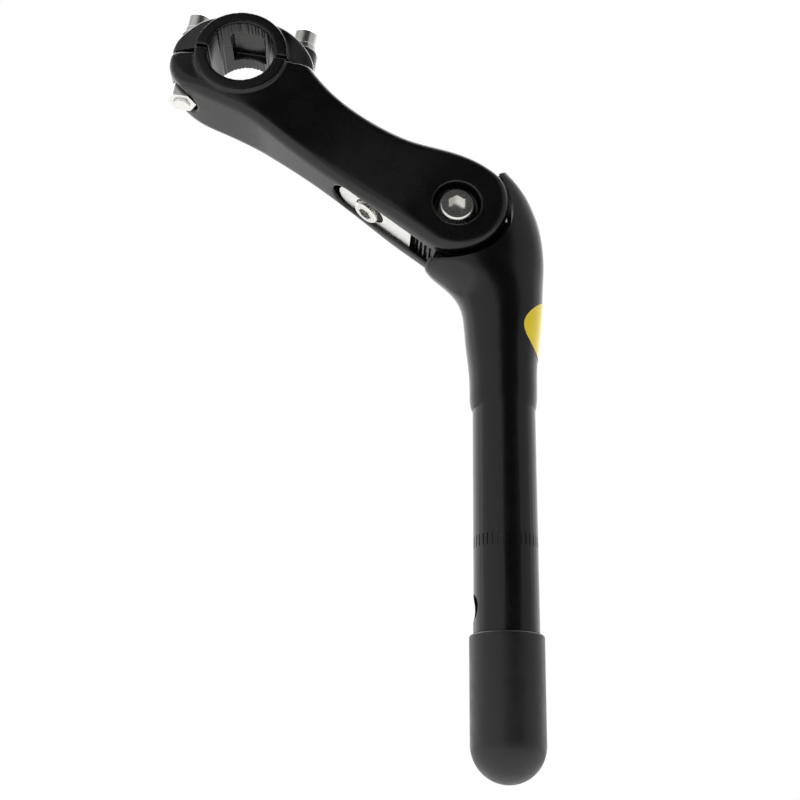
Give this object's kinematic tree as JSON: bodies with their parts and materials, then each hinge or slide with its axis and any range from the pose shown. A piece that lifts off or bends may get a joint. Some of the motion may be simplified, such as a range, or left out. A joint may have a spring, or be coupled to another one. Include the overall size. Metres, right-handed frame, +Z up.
{
  "type": "handlebar stem",
  "caption": "Adjustable-angle quill stem: round quill with end cap and expander, tilting forked arm locked by a toothed wedge, and a two-bolt handlebar clamp.",
  "frame": {"origin": "on the quill axis at the top of the insertion limit marks", "axes": "+Z up along the quill, +X forward to the handlebar, +Y to the rider's left, the pivot bolt's head side"},
  "size_m": [0.1444, 0.03, 0.2876],
  "materials": {
    "black_post": "satin black anodised and painted aluminium",
    "black_arm": "satin black painted forged aluminium",
    "steel_bright": "zinc plated steel, pale silver",
    "wedge_silver": "bare machined aluminium",
    "bush_bronze": "plain bearing bronze",
    "shim_steel": "rolled steel shim",
    "cone_alloy": "cast aluminium, as machined",
    "cap_rubber": "black moulded rubber",
    "label_yellow": "yellow self-adhesive film"
  },
  "bodies": {
    "post": {"quill_post": "black_post", "pivot_bush": "bush_bronze", "friction_shims": "shim_steel", "blank_label": "label_yellow", "expander_washer": "steel_bright"},
    "expander_screw": {"expander_bolt": "steel_bright"},
    "cone": {"expander_cone": "cone_alloy"},
    "protector": {"end_cap": "cap_rubber"},
    "arm": {"stem_arm": "black_arm", "pivot_bolt": "steel_bright", "pivot_washer": "steel_bright", "pivot_nut": "steel_bright", "wedge_insert": "steel_bright", "clamp_nut": "steel_bright"},
    "wedge": {"angle_wedge": "wedge_silver"},
    "wedge_screw": {"wedge_bolt": "steel_bright", "wedge_washer": "steel_bright"},
    "bar_cap": {"clamp_cap": "black_arm", "clamp_washers": "steel_bright", "clamp_bolts": "steel_bright"}
  },
  "joints": [
    {"name": "arm_tilt", "type": "hinge", "parent": "post", "child": "arm", "pos_m": [0.0178, 0, 0.1219], "axis": [0, 1, 0], "range_deg": [-24, 36]},
    {"name": "wedge_slide", "type": "slide", "parent": "arm", "child": "wedge", "axis": [0.8039, 0, 0.5948], "range_m": [0, 0.0015]},
    {"name": "wedge_bolt_turn", "type": "hinge", "parent": "arm", "child": "wedge_screw", "pos_m": [0.04788, 0, 0.12799], "axis": [-0.5948, 0, 0.8039], "continuous": true},
    {"name": "expander_bolt_turn", "type": "hinge", "parent": "post", "child": "expander_screw", "pos_m": [0, 0, 0], "axis": [0, 0, 1], "range_deg": [0, 1080]},
    {"name": "expander_cone_slide", "type": "slide", "parent": "post", "child": "cone", "axis": [0, 0, -1], "range_m": [0, 0.00375]},
    {"name": "end_cap_slide", "type": "slide", "parent": "post", "child": "protector", "axis": [0, 0, -1], "range_m": [0, 0.06]},
    {"name": "clamp_cap_lift", "type": "slide", "parent": "arm", "child": "bar_cap", "axis": [-0.1219, 0, 0.9925], "range_m": [0, 0.04]}
  ],
  "couplings": [
    {"joint": "expander_cone_slide", "follows": "expander_bolt_turn", "m_per_rad": 0.00019894}
  ]
}
